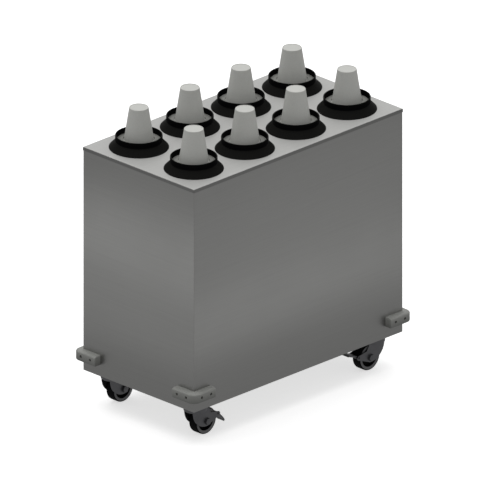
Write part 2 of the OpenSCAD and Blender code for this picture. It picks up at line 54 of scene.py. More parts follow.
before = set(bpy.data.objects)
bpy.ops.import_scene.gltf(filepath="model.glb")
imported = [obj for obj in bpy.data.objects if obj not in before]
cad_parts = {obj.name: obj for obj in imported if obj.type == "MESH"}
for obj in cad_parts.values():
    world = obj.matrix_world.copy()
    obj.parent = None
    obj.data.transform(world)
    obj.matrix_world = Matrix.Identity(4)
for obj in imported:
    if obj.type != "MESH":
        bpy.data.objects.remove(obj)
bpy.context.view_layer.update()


def box_of(node):
    """The low and the high corner of a frame node."""
    low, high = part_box(node)
    return np.array(low), np.array(high)


CORNERS = ("front_left", "front_right", "rear_left", "rear_right")
HEADS = range(1, 9)
ORIGIN = (0.0, 0.0, 0.0)

# Degrees that each brake pedal points down at rest
PEDAL_RESTS = {"front_left": 43.0, "front_right": -26.0}

# Points closer than this become one, and edges that turn by less are shaded smooth
MERGE = 2e-6
SMOOTH_ANGLE = math.radians(34)

# A face is flat while its normal's height is over the first value, and upright under the second
FLAT, UPRIGHT = 0.97, 0.2

DECK_LOW, DECK_HIGH = box_of("deck_plate")
DECK_Z = float(DECK_HIGH[2])
BODY_LOW = box_of("front_panel")[0]
BODY_HALF = np.abs(BODY_LOW)
CUP_LOW, CUP_HIGH = box_of("top_cup_1")
TYRE_LOW, TYRE_HIGH = box_of("front_left_tyre")
BUMPER_BAND = tuple(float(corner[2]) for corner in box_of("front_left_bumper"))

# The wheel's radius is its axle's height, and the core's rim is shared by core and tyre
WHEEL_RADIUS = float(TYRE_HIGH[2]) / 2
WHEEL_HALF = float(TYRE_HIGH[1] - TYRE_LOW[1]) / 2
RIM_SEAT, RIM_RING, RIM_SIDE = 0.86 * WHEEL_RADIUS, 0.92 * WHEEL_RADIUS, 0.76 * WHEEL_HALF
# Painted shade: inside this radius the wheel core's hub and web take the tyres' black, as the recess
# lies in shade
HUB_SHADE_RADIUS = 0.73 * WHEEL_RADIUS


def length(text, value):
    """A length in metres that the sidebar shows."""
    return FloatProperty(description=text, default=value, unit="LENGTH", precision=5)


def colour(text, value):
    """A colour that the sidebar shows."""
    return FloatVectorProperty(
        description=text, default=value, size=3, min=0.0, max=1.0, subtype="COLOR"
    )


def amount(text, value, subtype="NONE"):
    """A strength, a power or an angle that the sidebar shows."""
    return FloatProperty(description=text, default=value, subtype=subtype)


def labelled(group):
    """Names each property of a group after its identifier."""
    for identifier, made in group.__annotations__.items():
        made.keywords["name"] = identifier.replace("_", " ").capitalize()
    return group


@labelled
class DispenserCabinetSizes(bpy.types.PropertyGroup):
    """Sheet sizes of the cabinet"""

    sheet: length("Thickness of the deck and side sheets", 0.0015)
    deck_bend: length("Outer radius of the deck's bent edge and corners", 0.003)
    flange: length("Width of the flanges turned in on the side sheets", 0.022)
    deck_hole: length("Radius of the deck's holes under the collars", 0.0743)
    pan_rim: length("Height of the base pan's rim above its floor", 0.0265)


@labelled
class DispenserHeadSizes(bpy.types.PropertyGroup):
    """Sizes of the collars and gaskets"""

    collar: length("Outer radius of the collar's upright wall", 0.075)
    wall: length("Thickness of the collar's wall", 0.004)
    height: length("Height of the collar's rim above the deck", 0.042)
    flange: length("Outer radius of the collar's flange", 0.095)
    slope: length("Height of the top of the flange's slope", 0.022)
    lip: length("Height of the flange's upright edge", 0.0015)
    skirt: length("Depth of the collar below the deck", 0.022)
    socket: length("Radius of the collar's socket for the tube", 0.0703)
    ledge: length("Inner radius of the ledge that carries the gasket", 0.067)
    gasket_height: length("Height of the gasket's edge above the deck", 0.022)
    gasket: length("Thickness of the gasket", 0.0016)
    gasket_rise: length("Rise of the gasket from its edge to its hole", 0.004)
    gasket_hole: length("Radius of the hole that the cup stands in", 0.04925)
    seat_gap: length("Gap between pieces that seat on each other", 0.0003)


@labelled
class DispenserCupSizes(bpy.types.PropertyGroup):
    """Sizes of a foam cup"""

    mouth: length("Outer radius at the mouth, below the rim", 0.048)
    foot: length("Outer radius at the foot", 0.0305)
    wall: length("Thickness of the wall", 0.002)
    rim: length("How far the rolled rim stands out", 0.00075)
    rim_height: length("Height of the rolled rim", 0.0035)
    foot_ring: length("Width of the ring that the cup stands on", 0.0024)
    foot_recess: length("Depth of the hollow under the foot", 0.0015)
    floor: length("Thickness of the cup's floor", 0.0025)
    nest_gap: length("Clearance between nested cups", 0.0003)


@labelled
class DispenserBumperSizes(bpy.types.PropertyGroup):
    """Sizes of the corner bumpers"""

    thickness: length("How far a bumper stands out", 0.024)
    arm: length("Length of an arm from the cabinet's corner", 0.076)
    corner: length("Outer radius round the corner", 0.02625)
    shoulder: length("Bevel along the upper edge", 0.006)
    heel: length("Bevel along the lower edge", 0.003)
    end_round: length("Rounding of the arms' ends", 0.005)
    inner_screw: length("Distance of the inner screw from the corner", 0.012)
    outer_screw: length("Distance of the outer screw from the corner", 0.053)
    screw_well: length("Radius of the well that a screw sinks into", 0.0049)
    well_depth: length("Depth of a screw's well", 0.012)
    screw_head: length("Radius of a screw's head", 0.0046)


@labelled
class DispenserCasterSizes(bpy.types.PropertyGroup):
    """Sizes of the casters"""

    trail: length("Distance from the swivel axis back to the axle", 0.032)
    crown: length("Radius of the fork's crown", 0.0375)
    fork_sheet: length("Thickness of the fork's sheet", 0.003)
    crown_top: length("Height of the crown's upper face", 0.105)
    skirt: length("Height of the crown's lower edge", 0.0875)
    leg_gap: length("Gap between the wheel and a leg", 0.002)
    boss: length("Radius of a leg's lower end", 0.0162)
    pin: length("Radius of the axle", 0.006)
    arch: length("Radius of the wheel's arch in the crown", 0.0485)
    brake_back: length("Distance from the axle back to the pedal's pin", 0.050)
    brake_up: length("Height of the pedal's pin above the axle", 0.011)
    pedal: length("Length of the brake pedal from its pin", 0.046)


@labelled
class DispenserFinishes(bpy.types.PropertyGroup):
    """Colours of the materials"""

    stainless: colour("Brushed stainless sheet", (0.37, 0.37, 0.362))
    # Painted shade: a darker copy of the deck's stainless for its bend and turned-down lip, which
    # also dims the bend's highlight
    deck_edge: colour("Turned-down edge of the deck", (0.25, 0.25, 0.245))
    deck: colour("Brushed stainless deck", (0.64, 0.64, 0.624))
    foam: colour("Foam of the cups", (0.73, 0.735, 0.70))
    gasket: colour("Sheet of the gaskets", (0.27, 0.272, 0.255))
    collar: colour("Black plastic of the collars", (0.0095, 0.0095, 0.0088))
    bumper: colour("Grey plastic of the bumpers", (0.31, 0.315, 0.298))
    # The tyres' own black, also used as painted shade on the collars' upright walls and in the wheel
    # cores' recesses
    tyre: colour("Black of tyres, wheel recesses and collar walls", (0.004, 0.004, 0.0045))
    screw: colour("Dark screws of the bumpers", (0.05, 0.052, 0.045))
    wheel: colour("Plastic of the wheel cores", (0.16, 0.16, 0.165))
    zinc: colour("Zinc-plated steel of the forks", (0.18, 0.18, 0.188))
    bright: colour("Bright steel of tubes, bolts and springs", (0.50, 0.50, 0.50))
    follower: colour("Grey plastic of the followers", (0.30, 0.30, 0.30))


@labelled
class DispenserStage(bpy.types.PropertyGroup):
    """Camera, floor and lights"""

    azimuth: amount("Camera's turn about Z from the front", math.radians(-45), "ANGLE")
    elevation: amount("Camera's height above level", math.asin(0.39), "ANGLE")
    picture_width: length("Width of the picture at the object", 1.5246)
    aim_right: length("Picture's middle to the right of the low corner", 0.1525)
    aim_up: length("Picture's middle above the cabinet's low corner", 0.5354)
    floor: length("Half the width of the floor", 14.0)
    daylight: amount("Strength of the even light", 0.33)
    overhead: amount("Strength of the light above", 1.5)
    front_glow: amount("Power of the panels that the front sheet mirrors", 0.31)
    left_glow: amount("Power of the panels that the left end sheet mirrors", 0.27)


# Each soft panel: the sheet that mirrors it, the height of its middle, its width and height, and
# its share of that side's power
GLOWS = (
    ("front", 0.21, (1.3, 0.20), 0.65), ("front", 0.53, (1.3, 0.30), 0.35),
    ("left", 0.43, (0.9, 0.20), 0.41), ("left", 0.29, (0.9, 0.42), 0.59),
)
# A panel's place along its sheet, its distance off it, and how much higher it is aimed
GLOW_ALONG, GLOW_AWAY, GLOW_LIFT = 0.30, 0.36, 0.21

GROUPS = {
    "dispenser_cabinet": DispenserCabinetSizes,
    "dispenser_head": DispenserHeadSizes,
    "dispenser_cup": DispenserCupSizes,
    "dispenser_bumper": DispenserBumperSizes,
    "dispenser_caster": DispenserCasterSizes,
    "dispenser_finish": DispenserFinishes,
    "dispenser_stage": DispenserStage,
}


# Outlines

def parabola(start, middle, end, t):
    """Points from the start towards the middle and on to the end: the share of the start is
    (1 - t)^2, of the middle 2 t (1 - t) and of the end t^2."""
    return (1 - t) ** 2 * start + 2 * t * (1 - t) * middle + t ** 2 * end


def rounded(corners, steps=5):
    """A closed outline from rows of (x, y, reach). Each corner is swept by a parabola that leaves
    one side and joins the next at its reach from the corner, or at half the side if that is less."""
    corners = np.asarray(corners, float)
    point, reach = corners[:, :2], corners[:, 2:3]
    ends = []
    for way in (1, -1):
        side = np.roll(point, way, axis=0) - point
        share = np.minimum(reach / np.linalg.norm(side, axis=1, keepdims=True), 0.5)
        ends.append(point + side * share)
    t = np.linspace(0, 1, steps)[None, :, None]
    outline = parabola(ends[0][:, None], point[:, None], ends[1][:, None], t).reshape(-1, 2)
    step = np.linalg.norm(outline - np.roll(outline, 1, axis=0), axis=1)
    return outline[step > MERGE]


def mirrored(rows, steps=5):
    """A rounded outline from the rows of its lower half, which the upper half mirrors."""
    return rounded([*rows, *((x, -y, reach) for x, y, reach in reversed(rows))], steps)


def circle_arc(centre, radius, start, end, steps):
    """Points on a circle from one angle to another, in degrees."""
    angle = np.radians(np.linspace(start, end, steps))
    return np.asarray(centre) + radius * np.stack([np.cos(angle), np.sin(angle)], axis=1)


def inset(outline, distance):
    """A counter-clockwise outline moved inwards, each point so far along the mean of its two
    sides' normals that both sides move by the distance."""
    back = outline - np.roll(outline, 1, axis=0)
    ahead = np.roll(outline, -1, axis=0) - outline
    back = back / np.linalg.norm(back, axis=1, keepdims=True)
    ahead = ahead / np.linalg.norm(ahead, axis=1, keepdims=True)
    outward = np.stack([back[:, 1] + ahead[:, 1], -back[:, 0] - ahead[:, 0]], axis=1)
    return outline - distance * outward * 2 / np.sum(outward ** 2, axis=1, keepdims=True)


# Surfaces: each is a pair of points and faces

def points_of(x, y, z):
    """Points from their coordinates, each spread over the shape that all three fill."""
    return np.stack(np.broadcast_arrays(x, y, z), axis=-1)


def grid(points, close_rows=False, close_columns=True):
    """A grid of points with a quad in each cell. A closed direction joins its last line to its
    first."""
    rows, columns = points.shape[:2]
    row = np.arange(rows if close_rows else rows - 1)[:, None]
    column = np.arange(columns if close_columns else columns - 1)[None, :]
    row_next = (row + 1) % rows
    column_next = (column + 1) % columns
    faces = np.stack([
        row * columns + column, row * columns + column_next,
        row_next * columns + column_next, row_next * columns + column,
    ], axis=-1)
    return points.reshape(-1, 3), faces.reshape(-1, 4)


def cap(points):
    """One face over a closed loop of points."""
    return points, np.arange(len(points))[None, :]


def revolve(profile, centre, axis, steps):
    """A closed profile of (radius, height) points turned about an axis through the centre: the
    point at angle a is (r cos a, r sin a, h) about Z, or (r cos a, h, r sin a) about Y."""
    angle = np.arange(steps) * math.tau / steps
    radius, along = profile[:, 0, None], profile[:, 1, None]
    across, other = radius * np.cos(angle), radius * np.sin(angle)
    order = (across, other, along) if axis == "Z" else (across, along, other)
    return grid(points_of(*order) + np.asarray(centre), close_rows=True)


def round_bar(radius, half, edge, middle, steps):
    """A bar along Y with rounded ends."""
    return revolve(mirrored([(0.0, -half, 0.0), (radius, -half, edge)]), middle, "Y", steps)


def plate(outline, low, high, place, edge, steps=4):
    """A flat piece: the outline carried from low to high, with a quarter round of the edge radius
    at each end, where the outline is inset by edge * (1 - sin a) and lies edge * (1 - cos a) in."""
    angle = np.linspace(0, math.pi / 2, steps)
    drawn_in = edge * (1 - np.sin(angle))
    depth = edge * (1 - np.cos(angle))
    insets = np.concatenate([drawn_in, drawn_in[::-1]])
    levels = np.concatenate([low + depth, high - depth[::-1]])
    loops = np.stack([inset(outline, d) for d in insets])
    points = place(loops[..., 0], loops[..., 1], levels[:, None])
    return [grid(points), cap(points[0]), cap(points[-1])]


def along_y(centre=ORIGIN):
    """Places an outline in the XZ plane, with its thickness along Y."""
    return lambda u, v, w: points_of(centre[0] + u, centre[1] + w, centre[2] + v)


def plate_pair(outline, near, thick, middle=ORIGIN):
    """A plate on either side of a wheel, each from the near distance outwards."""
    parts = []
    for low in (near, -near - thick):
        parts += plate(outline, low, low + thick, along_y(middle), 0.0006)
    return parts


def add_piece(name, parts, finish, body, slot, *replaced):
    """One object from several surfaces, in place of the frame nodes named last. Points that meet
    become one, faces are turned outwards, and an edge stays sharp where its two faces differ by
    more than the smooth angle. Shading follows the larger faces, so that a flat side stays flat
    beside a narrow bend."""
    points, faces, count = [], [], 0
    for part_points, part_faces in parts:
        points.append(part_points)
        faces += (part_faces + count).tolist()
        count += len(part_points)
    mesh = bpy.data.meshes.new(name)
    mesh.from_pydata(np.concatenate(points), [], faces)
    shell = bmesh.new()
    shell.from_mesh(mesh)
    bmesh.ops.remove_doubles(shell, verts=shell.verts, dist=MERGE)
    bmesh.ops.recalc_face_normals(shell, faces=shell.faces)
    shell.to_mesh(mesh)
    shell.free()
    mesh.shade_smooth()
    mesh.set_sharp_from_angle(angle=SMOOTH_ANGLE)
    mesh.materials.append(finish_of(finish))
    piece = bpy.data.objects.new(name, mesh)
    bpy.context.scene.collection.objects.link(piece)
    piece.modifiers.new("flat sides", "WEIGHTED_NORMAL").keep_sharp = True
    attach(piece, body)
    if replaced:
        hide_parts(*replaced)
    return piece


def paint(piece, finish, chosen):
    """Gives a second finish to the faces that are chosen by their middles and normals."""
    faces = piece.data.polygons
    middle, normal = np.empty(3 * len(faces)), np.empty(3 * len(faces))
    faces.foreach_get("center", middle)
    faces.foreach_get("normal", normal)
    piece.data.materials.append(finish_of(finish))
    picked = chosen(middle.reshape(-1, 3), normal.reshape(-1, 3))
    faces.foreach_set("material_index", picked.astype(np.int32))


# Materials

class Finish:
    """A material under construction: its nodes are added and joined one call at a time."""

    def __init__(self, name):
        self.material = bpy.data.materials.new(name)
        self.material.use_nodes = True
        self.tree = self.material.node_tree
        self.shader = self.tree.nodes["Principled BSDF"]
        self.place = self.tree.nodes.new("ShaderNodeTexCoord").outputs["Object"]

    def put(self, made, sockets):
        """Sets a node's inputs, and links those whose value is another node's output."""
        for label, value in sockets.items():
            socket = made.inputs[label.replace("_", " ")]
            if isinstance(value, bpy.types.NodeSocket):
                self.tree.links.new(value, socket)
            else:
                socket.default_value = value

    def add(self, kind, output, **sockets):
        """One output of a new node."""
        made = self.tree.nodes.new(kind)
        self.put(made, sockets)
        return made.outputs[output]

    def noise(self, scale, detail, roughness, place=None):
        """Noise of a scale per metre."""
        return self.add(
            "ShaderNodeTexNoise", "Fac", Vector=place or self.place, Scale=scale, Detail=detail,
            Roughness=roughness,
        )

    def remap(self, value, low, high, start=0.3, end=0.7):
        """A value carried from one range to another."""
        return self.add(
            "ShaderNodeMapRange", "Result", Value=value, From_Min=start, From_Max=end, To_Min=low,
            To_Max=high,
        )

    def shade(self, value, base, dark, light):
        """A colour that runs from a darker to a lighter share of the base as the value runs from
        zero to one."""
        ramp = self.tree.nodes.new("ShaderNodeValToRGB")
        self.put(ramp, {"Fac": value})
        for stop, factor in zip(ramp.color_ramp.elements, (dark, light)):
            stop.color = (*(min(1.0, channel * factor) for channel in base), 1.0)
        return ramp.outputs["Color"]

    def set(self, **sockets):
        """Sets the shader's inputs and returns the material."""
        self.put(self.shader, sockets)
        return self.material

    def build(self, tint, rough, height, relief, **sockets):
        """The material from the values of shade for its colour, those of remap for its roughness,
        and the value that stands up by the relief, in metres."""
        bump = self.add("ShaderNodeBump", "Normal", Height=height, Distance=relief, Strength=1.0)
        return self.set(
            Base_Color=self.shade(*tint), Roughness=self.remap(*rough), Normal=bump, **sockets
        )


# Moulded plastic: the scale per metre, detail and roughness of its drift and of its spark texture,
# and the height of the texture
DRIFT, SPARK, SPARK_RELIEF = (9.0, 4.0, 0.6), (900.0, 2.0, 0.5), 0.00006


def clouded(name, base, tones, cloud, rough, grain, relief, **sockets):
    """A finish of two noises. The cloud carries the colour between two shares of the base and the
    roughness between two values, and the fine grain stands up by the relief."""
    finish = Finish(name)
    drift = finish.noise(*cloud)
    tint = (finish.remap(drift, 0.0, 1.0), base, *tones)
    return finish.build(tint, (drift, *rough), finish.noise(*grain), relief, **sockets)


def brushed_sheet(name, base, grain_scale, rough, metallic=1.0):
    """Stainless sheet: long fine grain along one way and broad soft mottling. A sheet that is
    handled all day is duller, so less of it is metallic."""
    finish = Finish(name)
    stretched = finish.add("ShaderNodeMapping", "Vector", Vector=finish.place, Scale=grain_scale)
    grain, mottle = finish.noise(1.0, 5.0, 0.7, stretched), finish.noise(2.2, 4.0, 0.6)
    tint = (finish.remap(grain, 0.0, 1.0), base, 0.94, 1.05)
    return finish.build(tint, (mottle, *rough), grain, 0.00003, Metallic=metallic)


def moulded_plastic(name, base, rough, ior=1.5, spark=SPARK, relief=SPARK_RELIEF):
    """Moulded plastic: fine spark texture and faint colour drift. A low refractive index takes
    the haze off black plastic."""
    span = (rough - 0.05, rough + 0.06)
    return clouded(name, base, (0.93, 1.07), DRIFT, span, spark, relief, IOR=ior)


def plastic_lit_from_above(name, base, low, high):
    """Moulded plastic with painted light from above: paler towards the top and darker towards the
    bottom, between two heights, with a fine grain.
    """
    finish = Finish(name)
    drift = finish.noise(*DRIFT)
    height = finish.add("ShaderNodeSeparateXYZ", "Z", Vector=finish.place)
    painted_light_by_height = finish.remap(height, 0.0, finish.remap(drift, 0.88, 1.0), low, high)
    tint = (painted_light_by_height, base, 0.62, 1.3)
    return finish.build(tint, (drift, 0.5, 0.6), finish.noise(*SPARK), SPARK_RELIEF)


def bead_foam(name, base):
    """Moulded bead foam: close cells about three millimetres across, each a little domed."""
    finish = Finish(name)
    cell = finish.add("ShaderNodeTexVoronoi", "Distance", Vector=finish.place, Scale=330.0)
    dome = finish.remap(cell, 1.0, 0.0, 0.0, 0.8)
    tint, rough = (dome, base, 0.95, 1.02), (finish.noise(30.0, 3.0, 0.6), 0.52, 0.66)
    return finish.build(tint, rough, dome, 0.00008, Specular_IOR_Level=0.35)


def plated_steel(name, base, *rough):
    """Plated steel: cloudy bright and dull patches with a fine grain."""
    cloud, grain = (14.0, 5.0, 0.65), (600.0, 2.0, 0.5)
    return clouded(name, base, (0.85, 1.12), cloud, rough, grain, 0.00002, Metallic=1.0)


def wheel_rubber(name, base):
    """Tyre rubber: dark, dull, with dusty drift and a fine grain."""
    dust, grain = (26.0, 5.0, 0.65), (700.0, 2.0, 0.5)
    return clouded(name, base, (0.8, 1.6), dust, (0.62, 0.8), grain, 0.00006, IOR=1.15)


# The maker of each finish, its colour and the maker's further values
FINISHES = {
    "stainless_side": (brushed_sheet, "stainless", (3.0, 3.0, 900.0), (0.32, 0.40)),
    # Painted shade: the darker stainless of the deck's bend and turned-down lip
    "stainless_lip": (brushed_sheet, "deck_edge", (3.0, 3.0, 900.0), (0.36, 0.44)),
    "stainless_deck": (brushed_sheet, "deck", (3.0, 900.0, 3.0), (0.36, 0.44), 0.2),
    "cup_foam": (bead_foam, "foam"),
    "gasket_film": (moulded_plastic, "gasket", 0.5, 1.5, (500.0, 2.0, 0.5), 0.00003),
    "collar_plastic": (moulded_plastic, "collar", 0.5, 1.12),
    # Painted shade: the collars' upright walls in the tyres' black, darker than their flanges as
    # they face away from the light above
    "collar_wall": (moulded_plastic, "tyre", 0.55, 1.04),
    # Painted light: the bumpers are made paler at the top and darker at the bottom, as if lit from
    # above
    "bumper_plastic": (plastic_lit_from_above, "bumper", *BUMPER_BAND),
    "tyre_rubber": (wheel_rubber, "tyre"),
    "wheel_plastic": (moulded_plastic, "wheel", 0.42),
    # Painted shade: the black of the wheel cores' recessed hub and web
    "hub_plastic": (moulded_plastic, "tyre", 0.5, 1.15),
    "zinc_steel": (plated_steel, "zinc", 0.34, 0.5),
    "bright_steel": (plated_steel, "bright", 0.25, 0.38),
    "dark_screw": (plated_steel, "screw", 0.4, 0.5),
    "follower_plastic": (moulded_plastic, "follower", 0.45),
}


def finish_of(name):
    """The finish of that name, made the first time it is asked for. The frame's materials have
    short names of their own, so a finish's material has a longer one."""
    full_name = f"{name}_finish"
    maker, tint, *values = FINISHES[name]
    base = getattr(bpy.context.scene.dispenser_finish, tint)
    return bpy.data.materials.get(full_name) or maker(full_name, base, *values)


# Places

def head_centre(head):
    """Middle of a dispensing head on the deck, from the top cup of that number."""
    low, high = box_of(f"top_cup_{head}")
    return np.array([(low[0] + high[0]) / 2, (low[1] + high[1]) / 2, DECK_Z])


def corner_signs(corner):
    """Which way a corner points: -1 is left or front."""
    return (-1.0 if corner.endswith("left") else 1.0), (-1.0 if corner.startswith("front") else 1.0)


def caster_places(corner, trail):
    """The swivel axis of a caster on the floor, the way its wheel trails along X, and the middle
    of the wheel."""
    low, high = box_of(f"{corner}_tyre")
    way = -corner_signs(corner)[0]
    swivel = np.array([(low[0] + high[0]) / 2 - way * trail, (low[1] + high[1]) / 2, 0.0])
    return swivel, way, np.array([swivel[0] + way * trail, swivel[1], WHEEL_RADIUS])


def at_caster(parts, corner, trail):
    """Parts in a caster's own axes, from its swivel axis back over the wheel, put in place."""
    swivel, way, _ = caster_places(corner, trail)
    return [(points * [way, way, 1.0] + swivel, faces) for points, faces in parts]


# Cabinet

def rectangle_loop(low, high, steps):
    """Points round a rectangle, counter-clockwise from its low corner, with equal steps on each
    side."""
    t = np.arange(steps) / steps
    corners = np.array([[low[0], low[1]], [high[0], low[1]], [high[0], high[1]], [low[0], high[1]]])
    ahead = np.roll(corners, -1, axis=0)
    return (corners[:, None] + (ahead - corners)[:, None] * t[None, :, None]).reshape(-1, 2)


def holed_cell(low, high, centre, radius, steps, rings=5):
    """A rectangle with a round hole: the points run in rings from the circle to the edge, along
    the rays to the edge's own points."""
    edge = rectangle_loop(low, high, steps)
    away = edge - centre
    circle = centre + radius * away / np.linalg.norm(away, axis=1, keepdims=True)
    t = np.linspace(0, 1, rings)[:, None, None]
    return circle + (edge - circle) * t


def border_path(columns, rows, steps, fan):
    """Points and outward directions round the rectangle that a table of cells fills. The points
    are the cells' own edge points, and at each corner the direction turns in a fan."""
    def line(marks):
        parts = [np.linspace(a, b, steps + 1)[:-1] for a, b in zip(marks[:-1], marks[1:])]
        return np.concatenate(parts + [marks[-1:]])

    across, up = line(columns), line(rows)
    sides = (across, rows[0]), (columns[-1], up), (across[::-1], rows[-1]), (columns[0], up[::-1])
    points, angles = [], []
    for turns, side in enumerate(sides):
        side = np.stack(np.broadcast_arrays(*side), axis=1)
        step = np.arange(len(side) + fan - 1)
        points.append(side[np.minimum(step, len(side) - 1)])
        angles.append(90.0 * (turns - 1) + 90.0 / fan * np.clip(step - len(side) + 1, 0, None))
    angle = np.radians(np.concatenate(angles))
    return np.concatenate(points), np.stack([np.cos(angle), np.sin(angle)], axis=1)


def deck_parts(sizes):
    """A thin sheet with eight round holes and an edge bent down all round. The flat part is a
    table of holed cells, twice, at the sheet's two faces. The edge is a profile carried round the
    flat part: a quarter turn about the bend's middle, down to the lip and back inside."""
    bend, sheet = sizes.deck_bend, sizes.sheet
    centres = [head_centre(head)[:2] for head in HEADS]
    low, high = DECK_LOW[:2] + bend, DECK_HIGH[:2] - bend
    pitch = centres[1][0] - centres[0][0]
    columns = np.array([low[0], -pitch, 0.0, pitch, high[0]])
    rows = np.array([low[1], 0.0, high[1]])
    steps = 24
    parts = []
    for index, centre in enumerate(centres):
        row, column = divmod(index, 4)
        cell_low, cell_high = ((columns[column + i], rows[row + i]) for i in (0, 1))
        cell = holed_cell(cell_low, cell_high, centre, sizes.deck_hole, steps)
        faces = [points_of(cell[..., 0], cell[..., 1], z) for z in (DECK_Z, DECK_Z - sheet)]
        parts += [grid(face) for face in faces]
        parts.append(grid(np.stack([face[0] for face in faces])))
    lip_z = DECK_LOW[2] - DECK_Z
    outer = circle_arc((0.0, -bend), bend, 90, 0, 7)
    inner = circle_arc((0.0, -bend), bend - sheet, 0, 90, 7)
    profile = np.concatenate([outer, [[bend, lip_z], [bend - sheet, lip_z]], inner])[:, None]
    base, facing = border_path(columns, rows, steps, 8)
    flat = base + facing * profile[..., :1]
    parts.append(grid(points_of(flat[..., 0], flat[..., 1], DECK_Z + profile[..., 1])))
    return parts


def side_parts(sizes, node):
    """A side sheet with its upper edge turned in, and an end sheet's two inner flanges. Each part
    is an outline seen from above, carried upwards. The long sheets close the corners, so their
    outer edges are rounded."""
    low, high = box_of(node)
    sheet, flange = sizes.sheet, sizes.flange
    is_long = node in ("front_panel", "rear_panel")
    facing = 1 if is_long else 0
    sign = 1.0 if node in ("front_panel", "left_end_panel") else -1.0
    start = low[facing] if sign > 0 else high[facing]
    first, last = low[1 - facing], high[1 - facing]
    round_over = 0.95 * sheet if is_long else 0.0
    above_pan, below_deck = 0.0045, 0.003

    def place(u, v, w):
        """Puts a length along the sheet and a depth into the cabinet where they belong."""
        into = start + sign * v
        return points_of(u, into, w) if is_long else points_of(into, u, w)

    def slab(a, b, near, far, bottom, top, reach=0.0):
        """A flat part from a to b along the sheet, between two depths and two heights."""
        outline = rounded([(a, near, reach), (b, near, reach), (b, far, 0.0), (a, far, 0.0)], 7)
        return plate(outline, bottom, top, place, 0.0002)

    parts = slab(first, last, 0.0, sheet, low[2], high[2], round_over)
    parts += slab(first, last, sheet, flange, high[2] - sheet, high[2])
    if not is_long:
        bottom, top = BODY_LOW[2] + sizes.pan_rim + above_pan, high[2] - below_deck
        for a, b in ((first, first + sheet), (last - sheet, last)):
            parts += slab(a, b, sheet, flange + sheet, bottom, top)
    return parts


# Heads and cups

def collar_profile(sizes):
    """Section of a collar from its socket out over the flange's slope and up to the rolled rim."""
    wall = sizes.wall
    inner = sizes.collar - wall
    rate = (sizes.slope - sizes.lip) / (sizes.flange - sizes.collar)
    drop = wall * math.hypot(1, rate)
    spigot, ledge_foot = sizes.socket + 0.003, -0.003
    return rounded([
        (sizes.socket, -sizes.skirt, 0.0006), (spigot, -sizes.skirt, 0.0006), (spigot, 0.0, 0.0),
        (sizes.collar, 0.0, 0.001), (sizes.collar, sizes.slope - drop, 0.001),
        (sizes.flange - (drop - sizes.lip) / rate, 0.0, 0.001), (sizes.flange, 0.0, 0.0003),
        (sizes.flange, sizes.lip, 0.0008), (sizes.collar, sizes.slope, 0.002),
        (sizes.collar, sizes.height, 0.0019), (inner, sizes.height, 0.0019),
        (inner, sizes.gasket_height, 0.0005), (sizes.ledge, sizes.gasket_height, 0.0005),
        (sizes.ledge, ledge_foot, 0.0), (sizes.socket, ledge_foot, 0.0),
    ], 6)


def gasket_profile(sizes):
    """Section of a gasket: a flat edge, a soft curve up towards the cup and a bead at the hole."""
    edge = sizes.collar - sizes.wall - sizes.seat_gap
    hole, thin = sizes.gasket_hole, sizes.gasket
    low, high = sizes.gasket_height, sizes.gasket_height + sizes.gasket_rise
    bead = thin / 2
    return rounded([
        (edge, low, 0.0004), (edge, low + thin, 0.0004), (sizes.ledge, low + thin, 0.006),
        (hole + 2 * bead, high + thin, 0.0006), (hole + bead, high + thin + bead, 0.0005),
        (hole, high + thin, 0.0004), (hole, high, 0.0004), (sizes.ledge, low, 0.006),
    ], 7)


def cup_profile(sizes, nest=0, pitch=0.0):
    """Section of an inverted cup from its rim up the wall, over the foot and down the inside. A
    nest repeats the rim of each lower cup down the outside, one pitch apart."""
    height = CUP_HIGH[2] - CUP_LOW[2]
    taper = (sizes.mouth - sizes.foot) / height

    def radius(z):
        return sizes.mouth - taper * z

    out = sizes.mouth + sizes.rim
    outside = []
    for level in range(nest, -1, -1):
        z = -level * pitch
        outside += [
            (out, z, 0.001), (out, z + sizes.rim_height, 0.001),
            (radius(sizes.rim_height), z + sizes.rim_height, 0.0003),
        ]
        if level:
            outside.append((radius(pitch), z + pitch, 0.0))
    foot_in = sizes.foot - sizes.foot_ring
    recess = height - sizes.foot_recess
    floor_z = recess - sizes.floor
    top = [
        (sizes.foot, height, 0.0011), (foot_in, height, 0.0006),
        (foot_in - sizes.foot_recess / 2, recess, 0.0006), (0.0, recess, 0.0),
        (0.0, floor_z, 0.0), (radius(floor_z) - sizes.wall, floor_z, 0.003),
        (sizes.mouth - sizes.wall, -nest * pitch, 0.0004),
    ]
    return rounded(outside + top, 5)


def spring_parts(centre, low, high, radius, wire):
    """A compression spring: a circle of the wire's size carried along a helix that climbs evenly
    between flat end turns. Its ends close in a point each."""
    turns, flat_turns, rings, sides = 7, 0.6, 24, 8
    t = np.linspace(0, turns, turns * rings + 1)
    climb = np.clip((t - flat_turns) / (turns - 2 * flat_turns), 0, 1)
    around = np.arange(sides) * math.tau / sides
    turn = (math.tau * t)[:, None]
    reach = radius + wire / 2 * np.cos(around)
    tube = points_of(
        centre[0] + reach * np.cos(turn), centre[1] + reach * np.sin(turn),
        low + (high - low) * climb[:, None] + wire / 2 * np.sin(around),
    )
    ends = [np.repeat(tube[end].mean(axis=0)[None, None], sides, axis=1) for end in (0, -1)]
    return [grid(np.concatenate([ends[0], tube, ends[1]]))]


# Bumpers

def bumper_path(sizes, s):
    """Point and outward direction on a bumper's back, in corner axes: along one face, round the
    corner and along the other. The straight runs lie on the faces, and s is the outer length."""
    inside = sizes.thickness - sizes.corner
    straight = sizes.arm + inside
    quarter = sizes.corner * math.pi / 2
    angle = math.pi / 2 - np.clip((s - straight) / sizes.corner, 0, math.pi / 2)
    facing = np.stack([np.cos(angle), np.sin(angle)], axis=-1)
    base = inside + (sizes.corner - sizes.thickness) * facing
    base[..., 0] -= np.clip(straight - s, 0, None)
    base[..., 1] -= np.clip(s - straight - quarter, 0, None)
    return base, facing


